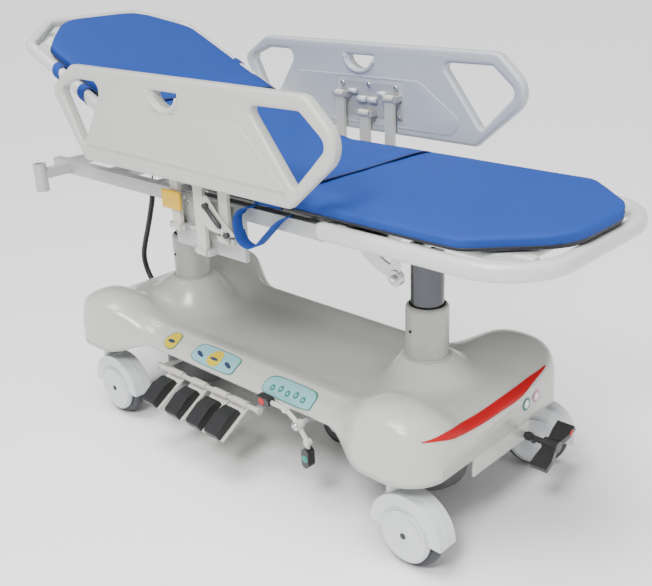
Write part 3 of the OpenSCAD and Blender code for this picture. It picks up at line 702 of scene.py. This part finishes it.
# ---------------------------------------------------------------- mattress
TH = 0.0215                 # half thickness
FLAT_Z = 0.9268             # middle of the mattress over the seat
SIDES, SQUARE = 88, 7.0     # points round its section, and how square that is
PINCH_IN, PINCH_END = 0.022, 0.12
SEAM = 0.905                # where the cover gathers at the waist, along the line


def on_board(s, h):
    return board_m @ Vector((s, 0, h))


centre_line = [on_board(s, 0.0560) for s in (0.922, 0.80, 0.66, 0.52, 0.38, 0.26, 0.16, 0.09)]
centre_line += [Vector((-0.105 + BX, 0, 0.9475)), Vector((-0.03 + BX, 0, 0.9285))]
centre_line += [Vector((x + BX, 0, FLAT_Z)) for x in (0.06, 0.20, 0.40, 0.60, 0.80, 0.95, 1.036)]
line = smooth_path(centre_line, 14)
dist = [0.0]
for a, b in zip(line, line[1:]):
    dist.append(dist[-1] + (b - a).length)
total = dist[-1]


def soft_min(a, b):
    """The lower of two widths, with the corner between them rounded."""
    k = 110.0
    m = min(a, b)
    return m - log(exp(-(a - m) * k) + exp(-(b - m) * k)) / k


def half_width(d):
    w = 0.292 + 0.022 * ease(0.70, 1.05, d)
    w = soft_min(w, 0.292 - (0.150 - d) * 0.95)
    e = total - d
    w = soft_min(w, 0.312 - (0.190 - e) * 0.95)
    return w - 0.05 * max(0.0, 1 - min(e, d) / 0.05) ** 2


def line_up(i):
    """The direction off the mattress line at point i, on the upper side."""
    a, b = line[max(0, i - 1)], line[min(len(line) - 1, i + 1)]
    up = Vector((0, 1, 0)).cross((b - a).normalized()).normalized()
    return up if up.z > 0 else -up


def build_mattress():
    rings = []
    for i, p in enumerate(line):
        up = line_up(i)
        w = half_width(dist[i])
        end = min(dist[i], total - dist[i])
        pinch = sqrt(max(0.0, 1 - (1 - min(1.0, end / PINCH_IN)) ** 2)) * (1 - PINCH_END) + PINCH_END
        ring = []
        for k in range(SIDES):
            t = 2 * pi * k / SIDES
            r = squareness(t, SQUARE)
            y = (w - 0.010 * (1 - pinch)) * r * cos(t)
            h = TH * pinch * r * sin(t)
            if h > 0:
                edge_in = min(1.0, (w - abs(y)) / 0.10)
                fold = noise.noise(Vector((p.x * 7, y * 9, 3.1))) * 0.0020
                fold += noise.noise(Vector((p.x * 23, y * 17, 7.7))) * 0.0008
                crown = 0.0014 * ease(0, 1, edge_in) * min(1.0, end / 0.1)
                wave = sin(52 * dist[i] + 6 * noise.noise(Vector((p.x, y, 0)) * 5))
                near_seam = exp(-((dist[i] - SEAM) / 0.07) ** 2)
                gather = 0.0022 * wave * near_seam * (0.35 + 0.65 * (1 - edge_in))
                h += crown + fold * (0.4 + 0.6 * edge_in) * pinch + gather - 0.0010
            side_fold = 0.0022 * noise.noise(Vector((dist[i] * 26, 4.0, 1.0))) * abs(cos(t)) ** 4
            ring.append(p + up * h + Vector((0, y - (side_fold + 0.001) * (1 if y > 0 else -1), 0)))
        rings.append(ring)
    verts, faces = skin(rings)
    # the underside is dark; the two end caps, last in the list, are not
    mats = []
    for f in faces[:-2]:
        t = 2 * pi * (f[0] % SIDES + 0.5) / SIDES
        mats.append(1 if squareness(t, SQUARE) * sin(t) < -0.30 else 0)
    mats += [0, 0]
    return piece("mattress", verts, faces, ["mattress_blue", "mattress_dark"], None, face_mats=mats)


mattress = build_mattress()
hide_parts("mattress_seat", "mattress_back")
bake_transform(mattress)


def zip_roll(name, sign):
    """The thin roll of the zip along one side of the mattress, short of both ends."""
    pts = []
    for i, p in enumerate(line):
        if 0.024 <= dist[i] <= total - 0.024:
            out = sign * (half_width(dist[i]) + 0.0004)
            pts.append(p + line_up(i) * (TH * -0.34) + Vector((0, out, 0)))
    return tube(name, pts, 0.0017, "mattress_dark", None, sides=8)


for s in (-1, 1):
    roll = zip_roll("mattress_zip_%d" % (s + 1), s)
    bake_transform(roll)


# ---------------------------------------------------------------- straps
# a strap's flat section, in shares of half its width and half its thickness
SECTION = ((-1, -0.4), (-0.96, -1), (0, -1), (0.96, -1), (1, -0.4), (1, 0.4), (0.96, 1), (0, 1),
           (-0.96, 1), (-1, 0.4))
STRAP_STEPS = 26
STRAP_WIDE, CHEST_WIDE, HANG_WIDE, TIE_WIDE = 0.105, 0.10, 0.040, 0.030
STRAP_THICK, EDGE_THICK, EDGE_WIDE = 0.003, 0.0034, 0.007


def band(name, pts, wide, across_it, mat, body, thick):
    """A flat strap along points, its width along across_it, and its length."""
    pts = [Vector(p) for p in pts]
    rings = []
    for i, p in enumerate(pts):
        d = (pts[min(len(pts) - 1, i + 1)] - pts[max(0, i - 1)]).normalized()
        c = Vector(across_it)
        c = (c - d * c.dot(d)).normalized()
        nrm = d.cross(c)
        rings.append([p + c * (wide / 2 * a) + nrm * (thick / 2 * b) for a, b in SECTION])
    verts, faces = skin(rings)
    strap = piece(name, verts, faces, [mat], body)
    return strap, sum((b - a).length for a, b in zip(pts, pts[1:]))


def over_seat(shift_x=0.0, lift=0.0):
    """Points of the thigh strap from the near edge over the mattress to the far edge."""
    x0, x1, top, edge, low = 0.235, 0.255, 0.9525, 0.3125, 0.908
    pts = [(x0 + BX, -edge, low), (x0 + BX, -edge - 0.001, low + 0.014)]
    for k in range(STRAP_STEPS + 1):
        t = k / STRAP_STEPS
        y = -edge + 2 * edge * t
        press = 1 - abs(2 * t - 1) ** 12
        z = low + 0.024 + (top - low - 0.024) * press + 0.0012 * sin(9 * t)
        pts.append((x0 + (x1 - x0) * t + BX, y * 0.9995, z))
    pts += [(x1 + BX, edge + 0.001, low + 0.014), (x1 + BX, edge, low)]
    return [(x + shift_x, y, z + lift) for x, y, z in pts]


thigh, thigh_len = band("thigh_strap", over_seat(), STRAP_WIDE, (1, 0, 0), "mattress_blue", "deck",
                        STRAP_THICK)
band("thigh_strap_edge", over_seat(0.052, 0.0012), EDGE_WIDE, (1, 0, 0), "strap_navy", "deck", EDGE_THICK)


def over_board(lift=0.0):
    """Points of the chest strap over the mattress on the backrest."""
    s0, s1, edge = 0.42, 0.36, 0.2945
    pts = []
    for k in range(STRAP_STEPS + 1):
        t = k / STRAP_STEPS
        y = -edge + 2 * edge * t
        h = 0.0812 - 0.012 * abs(2 * t - 1) ** 14 + lift
        pts.append(board_m @ Vector((s0 + (s1 - s0) * t, y, h)))
    first = board_m @ Vector((s0, -0.2955, 0.052 + lift))
    last = board_m @ Vector((s1, 0.2955, 0.052 + lift))
    return [first] + pts + [last]


along = board_m.to_3x3() @ Vector((1, 0, 0))
chest, chest_len = band("chest_strap", over_board(), CHEST_WIDE, along, "mattress_blue", "backrest",
                        STRAP_THICK)
band("chest_strap_edge", [p - along * 0.049 for p in over_board(0.001)], EDGE_WIDE, along, "strap_navy",
     "backrest", EDGE_THICK)

LOOP_STRAP = [(0.195, -0.322, 0.905), (0.165, -0.333, 0.897), (0.147, -0.341, 0.872),
              (0.148, -0.344, 0.836), (0.163, -0.345, 0.808), (0.190, -0.345, 0.797),
              (0.222, -0.344, 0.806), (0.262, -0.340, 0.845), (0.300, -0.334, 0.884),
              (0.330, -0.324, 0.903)]
strap_pts = smooth_path([(x + BX, y, z) for x, y, z in LOOP_STRAP], 6)
hang, hang_len = band("hanging_strap", strap_pts, HANG_WIDE, (0, 1, 0), "mattress_blue", "deck", 0.0026)
for k, (at_s, sign) in enumerate(((0.52, -1), (0.66, -1), (0.52, 1))):
    ring = []
    for j in range(25):
        t = 2 * pi * j / 24
        y = sign * (HALF - 0.020) + 0.0215 * cos(t)
        ring.append(board_m @ Vector((at_s + 0.012 * sin(t), y, RIM_Z + 0.0228 * sin(t))))
    tie, tie_len = band("mattress_tie_%d" % k, ring, TIE_WIDE, along, "mattress_blue", "backrest", 0.002)

# ---------------------------------------------------------------- side rails
# half length, top, bottom and middle of a rail
RL, RT, RB, RS = 0.581, 1.238, 0.956, -0.008
RAIL_FACE = 0.3775          # its inner face
# outlines below are circles (x, z, radius) that a convex outline is drawn round, or points
OUTLINE = [(-RL + 0.118, RT - 0.034, 0.034), (-RL + 0.032, RT - 0.086, 0.032),
           (-RL + 0.132, RB + 0.014, 0.014), (RL - 0.110, RT - 0.050, 0.050),
           (RL - 0.070, RT - 0.112, 0.070), (RL - 0.165, RB + 0.018, 0.018)]
WIN_HEAD = [(-RL + 0.066, RT - 0.084, 0.020), (-RL + 0.128, RT - 0.056, 0.016),
            (-RL + 0.214, RT - 0.066, 0.026), (-RL + 0.128, RB + 0.062, 0.010)]
WIN_FOOT = [(RL - 0.262, RT - 0.056, 0.014), (RL - 0.118, RT - 0.062, 0.022),
            (RL - 0.062, RT - 0.112, 0.026), (RL - 0.140, RB + 0.070, 0.012)]
HALF_TURN = [pi * k / 24 for k in range(25)]
GRIP = [(-0.032 + 0.053 * cos(t), RT - 0.041 - 0.042 * sin(t)) for t in HALF_TURN]
LIP = [(-0.036 + 0.064 * cos(t), RT - 0.040 - 0.052 * sin(t)) for t in HALF_TURN[2:]]
FIELD = [(-0.311, 1.141, 0.004), (0.266, 1.134, 0.008), (0.412, 1.002, 0.006), (-0.426, 1.010, 0.004)]
SWELL = [(-0.300, 1.122, 0.012), (0.200, 1.105, 0.030), (0.330, 1.020, 0.030), (0.330, 0.985, 0.006),
         (-0.420, 0.985, 0.006)]


def bay(low_half, low, high_half, high, r_low, r_high):
    """The four corners of the hinge plate's opening, wider at the bottom."""
    return [(-low_half - RS, low, r_low), (low_half - RS, low, r_low),
            (high_half - RS, high, r_high), (-high_half - RS, high, r_high)]


BAY = bay(0.1145, 1.026, 0.0985, 1.096, 0.006, 0.006)
SWELL_BAY = bay(0.150, 0.996, 0.128, 1.116, 0.010, 0.012)
BOLTS = ((-0.112, 1.106), (0, 1.108), (0.112, 1.106), (-0.126, 1.014), (0.126, 1.014))
BOLT_HEAD = [(0.0085, 0), (0.0085, 0.0025), (0.006, 0.0052), (0.001, 0.006)]
ROLLERS = ((-0.062, 1.085, 0.008), (0.062, 1.085, 0.008), (-0.022, 1.062, 0.010), (0.022, 1.062, 0.010))
ROLLER_HALF = 0.016


def upright(y, x=BX):
    """Stands a flat outline (x, z) up at distance y from the middle."""
    return Matrix(((1, 0, 0, x), (0, 0, 1, y), (0, 1, 0, 0), (0, 0, 0, 1)))


def rail(side, s):
    """One moulded side rail: a slab with a raised field outside and a bay for the hinge plate inside."""
    body = "rail_" + side
    # the far rail takes the bluer copy of the rail paint, which is painted shade
    mat = "rail_grey" if s < 0 else "rail_far"

    def at(depth):
        return upright(s * RAIL_FACE + s * depth, RS + BX)
    loops = [hull(OUTLINE), hull(WIN_HEAD), hull(WIN_FOOT), GRIP, hull(BAY)]
    slab = plate("rail_slab_" + side, loops, 0.036, 0.0115, at(0.018), mat, body, res=6)
    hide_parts("rail_panel_" + side)
    plate("rail_field_" + side, [hull(FIELD)], 0.033, 0.0028, at(0.0222), mat, body, res=3)
    for name, depth in (("outer", 0.0345), ("inner", 0.0015)):
        tube("rail_lip_%s_%s" % (name, side), [at(depth) @ Vector((x, z, 0)) for x, z in LIP], 0.0075, mat,
             body, sides=12)
    plate("rail_swell_" + side, [hull(SWELL), hull(SWELL_BAY)], 0.006, 0.0024, at(0.0015), mat, body)


rail("near", -1)
rail("far", 1)

for s, side in ((-1, "near"), (1, "far")):
    for k, (x, z) in enumerate(BOLTS):
        turned("plate_bolt_%s_%d" % (side, k), BOLT_HEAD, (x + BX, s * 0.3745, z), (0, -s, 0), "bolt_steel",
               "rail_" + side, sides=20)
    # two rollers beside the arms and two guide rollers in the middle
    for k, (x, z, r) in enumerate(ROLLERS):
        turned("guide_roller_%s_%d" % (side, k),
               [(0.002, -ROLLER_HALF), (r, -ROLLER_HALF), (r, ROLLER_HALF), (0.002, ROLLER_HALF)],
               (x + BX, s * 0.3655, z), (1, 0, 0), "castor_white", "rail_" + side, sides=20)

# ---------------------------------------------------------------- release hardware
# casting and damper are on the rail arms, the wire loop is on the platform, the grip on the latch
CASTING = [(0.026, 0.905), (0.036, 0.919), (0.052, 0.914), (0.066, 0.896), (0.098, 0.864), (0.134, 0.838),
           (0.149, 0.826), (0.148, 0.819), (0.120, 0.818), (0.090, 0.818), (0.056, 0.820), (0.034, 0.829),
           (0.026, 0.850)]
RELEASE_WIRE = [(-0.088, 0.884), (-0.128, 0.872), (-0.137, 0.848), (-0.128, 0.820), (-0.104, 0.802),
                (-0.066, 0.798), (-0.026, 0.806), (0.0, 0.812)]
DAMPER = ((0.050, 0.893), (0.108, 0.843), (0.131, 0.8235))  # top, where the rod comes out, and foot
CASTING_Y, WIRE_Y, DAMPER_Y, GRIP_IN, GRIP_OUT = 0.3648, 0.3355, 0.3780, 0.3595, 0.3730
casting_line = smooth_path([Vector((x, z, 0)) for x, z in CASTING + CASTING[:1]], 5)[:-1]
for s, side in ((-1, "near"), (1, "far")):
    arms = "arms_" + side
    plate("release_casting_" + side, [[(q.x, q.y) for q in casting_line]], 0.0080, 0.0036,
          upright(s * CASTING_Y), "lever_white", arms, res=3)
    tube("release_loop_" + side, smooth_path([(x + BX, s * WIRE_Y, z) for x, z in RELEASE_WIRE], 6), 0.0062,
         "lever_white", "deck", sides=12)
    top, joint, foot = [Vector((x + BX, s * DAMPER_Y, z)) for x, z in DAMPER]
    down = (foot - top).normalized()
    reach = (joint - top).length
    turned("damper_tube_" + side, [(0.004, 0), (0.0070, 0.002), (0.0072, reach - 0.002), (0.0055, reach)],
           top, down, "damper_dark", arms, sides=20)
    turned("damper_rod_" + side, [(0.0035, reach - 0.001), (0.0035, (foot - top).length)], top, down,
           "bolt_steel", arms, sides=14)
    for k, spot in enumerate((top, foot)):
        turned("damper_eye_%s_%d" % (side, k),
               [(0.0030, -0.008), (0.0078, -0.008), (0.0078, 0.005), (0.0030, 0.005)],
               spot, (0, s, 0), "damper_dark", arms, sides=20)
    y0, y1 = across(s, GRIP_IN, GRIP_OUT)
    grip = block("latch_grip_" + side, (-0.152 + BX, y0, 0.853), (-0.070 + BX, y1, 0.909), 0.0062,
                 "latch_yellow", "latch_" + side, segments=4)
    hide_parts("rail_latch_" + side)

# ---------------------------------------------------------------- castors
STEM_X, STEM_Y, STEM_TOP = 0.65, 0.30, 0.2405
TRAIL, WHEEL_R, FENDER_R = 0.055, 0.1, 0.117
DISC = [(0.066, 0.0), (0.074, 0.0005), (0.0745, 0.003), (0.070, 0.0042), (0.066, 0.003), (0.063, 0.0012),
        (0.024, 0.0016), (0.020, 0.0034), (0.0, 0.0036)]
SWIVEL = [(0.012, 0), (0.036, 0), (0.038, 0.003), (0.038, 0.009), (0.036, 0.0115), (0.012, 0.0115)]
FENDER_ARC = [radians(2 + 176 * j / 40) for j in range(41)]
for k, (sx, sy, turn) in enumerate(((1, -1, 0), (1, 1, 25), (-1, -1, 0), (-1, 1, 0)), 1):
    a = radians(turn)
    stem = Vector((sx * STEM_X + BX, sy * STEM_Y, 0))
    trail = Vector((cos(a), sin(a), 0))
    axle = Vector((-sin(a), cos(a), 0))
    hub = stem + trail * TRAIL + Vector((0, 0, WHEEL_R))
    body = "castor_%d" % k
    for f in (-1, 1):
        out = axle * f
        turned("castor_disc_%d_%d" % (k, f + 1), DISC, hub + out * 0.035, out, "castor_white", body,
               sides=56)
        screw("castor_screw_%d_%d" % (k, f + 1), hub + out * 0.0388, out, 0.009, body, "tyre_grey")
    turned("castor_swivel_%d" % k, SWIVEL, stem + Vector((0, 0, STEM_TOP)), (0, 0, 1), "castor_white", body,
           sides=40)
    tube("castor_fender_%d" % k,
         [hub + FENDER_R * (trail * cos(t) + Vector((0, 0, 1)) * sin(t)) for t in FENDER_ARC], 0.0028,
         "castor_white", body, sides=8)

# ---------------------------------------------------------------- pedals
PEDAL_Y, PEDAL_Z, PEDAL_SLOPE, FACET_SLOPE = -0.285, 0.235, radians(31), radians(6)
for k, x in enumerate((-0.290, -0.172, -0.066, 0.022), 1):
    m = Matrix.Translation((x + BX, PEDAL_Y, PEDAL_Z)) @ Matrix.Rotation(PEDAL_SLOPE, 4, "X")
    m = m @ Matrix.Translation((0, 0, -0.003)) @ Matrix.Translation((0, -0.022, 0.0345))
    m = m @ Matrix.Rotation(FACET_SLOPE, 4, "X")
    block("pad_facet_%d" % k, (-0.025, -0.104, -0.0008), (0.025, -0.052, 0.0010), 0.0008, "pad_rubber",
          "pedal_%d" % k, m)
RX, RY, RZ = 0.313 + BX, -0.320, 0.280  # the rocker's pivot
for name, dx, dz, mat in (("brake", -0.136, 0.034, "disc_red"), ("steer", 0.034, -0.092, "disc_teal")):
    turned("pad_disc_" + name, [(0.0115, 0), (0.0115, 0.0008), (0.0095, 0.0016), (0.0, 0.0018)],
           (RX + dx, RY - 0.015, RZ + dz), (0, -1, 0), mat, "rocker")
turned("rocker_bolt", [(0.0125, 0), (0.0125, 0.002), (0.0095, 0.0045), (0.006, 0.005), (0.0055, 0.003),
                       (0.0, 0.003)],
       (RX, RY - 0.014, RZ), (0, -1, 0), "bolt_steel", "base", sides=6)
# the foot-end pedal's slope, and its pad's distance from the shaft
END_SLOPE, END_REACH = radians(26), 0.062
turned("end_pedal_mark", [(0.0095, 0), (0.0095, 0.0008), (0.0, 0.0012)],
       (0.892 + BX, 0.130 + END_REACH * cos(END_SLOPE), 0.215 + END_REACH * sin(END_SLOPE)), (1, 0, 0),
       "disc_red", "end_pedal_body", sides=24)

# ---------------------------------------------------------------- platform details
TUBE_Y, CAP_HALF, CAP_X = 0.300, 0.0155, -0.8185
for s in (-1, 1):
    block("tube_cap_%d" % (s + 1), (CAP_X + BX, s * TUBE_Y - CAP_HALF, 0.8515),
          (CAP_X + 0.004 + BX, s * TUBE_Y + CAP_HALF, 0.8945), 0.0015, "pedal_black", "deck")
    for k, x in enumerate((-0.13, -0.08, 0.08, 0.13)):
        screw("bracket_screw_%d_%d" % (s + 1, k), (x + BX, s * 0.3292, 0.870), (0, s, 0), 0.006, "deck")
for k, x in enumerate((-COL, COL)):
    screw("column_screw_%d" % k, (x + BX - 0.012, -0.0622, 0.535), (-0.19, -0.98, 0), 0.0045, "base",
          "seal_rubber")
turned("strut_pin_cap", [(0.010, 0), (0.010, 0.003), (0.007, 0.0045), (0, 0.0046)],
       (0.535 + BX, -0.164, 0.728), (0, -1, 0), "bolt_steel", "deck")

# ---------------------------------------------------------------- floor and light
FLOOR = 40                  # half the floor's side
floor = bpy.data.objects.new("floor", bpy.data.meshes.new("floor"))
floor.data.from_pydata([(-FLOOR, -FLOOR, 0), (FLOOR, -FLOOR, 0), (FLOOR, FLOOR, 0), (-FLOOR, FLOOR, 0)], [],
                       [(0, 1, 2, 3)])
floor.data.materials.append(M["floor"])
bpy.context.scene.collection.objects.link(floor)


def lamp(name, loc, target, size, power):
    """A round soft light at loc that faces target."""
    d = bpy.data.lights.new(name, "AREA")
    d.shape = "DISK"
    d.size = size
    d.energy = power
    o = bpy.data.objects.new(name, d)
    o.location = loc
    o.rotation_euler = (Vector(target) - Vector(loc)).to_track_quat("-Z", "Y").to_euler()
    bpy.context.scene.collection.objects.link(o)


lamp("key", (1.6, -3.2, 4.0), (0, 0, 0.6), 1.4, 230)
lamp("fill", (4.4, 0.6, 1.8), (0, 0, 0.5), 2.4, 40)
sun_data = bpy.data.lights.new("overhead", "SUN")
sun_data.energy = 4.4
sun_data.angle = radians(35)
sun = bpy.data.objects.new("overhead", sun_data)
sun.rotation_euler = (radians(10), radians(-6), 0)
bpy.context.scene.collection.objects.link(sun)

# a grey studio sky by height: a bright band at the horizon, dim above it, brighter overhead
HORIZON, OVERHEAD, DIM = (0.03, 3.2), (0.75, 1.0), ((0.12, 0.35), (0.35, 0.35))
SKY_STRENGTH = 0.45
world = bpy.data.worlds.new("studio")
world.use_nodes = True
sky = world.node_tree
coord = sky.nodes.new("ShaderNodeTexCoord")
split = sky.nodes.new("ShaderNodeSeparateXYZ")
ramp = sky.nodes.new("ShaderNodeValToRGB")
for stop, (place, grey) in zip(ramp.color_ramp.elements, (HORIZON, OVERHEAD)):
    stop.position = place
    stop.color = (grey, grey, grey, 1)
for place, grey in DIM:
    ramp.color_ramp.elements.new(place).color = (grey, grey, grey, 1)
sky.links.new(coord.outputs["Generated"], split.inputs[0])
sky.links.new(split.outputs["Z"], ramp.inputs[0])
sky.links.new(ramp.outputs[0], sky.nodes["Background"].inputs[0])
sky.nodes["Background"].inputs[1].default_value = SKY_STRENGTH
bpy.context.scene.world = world
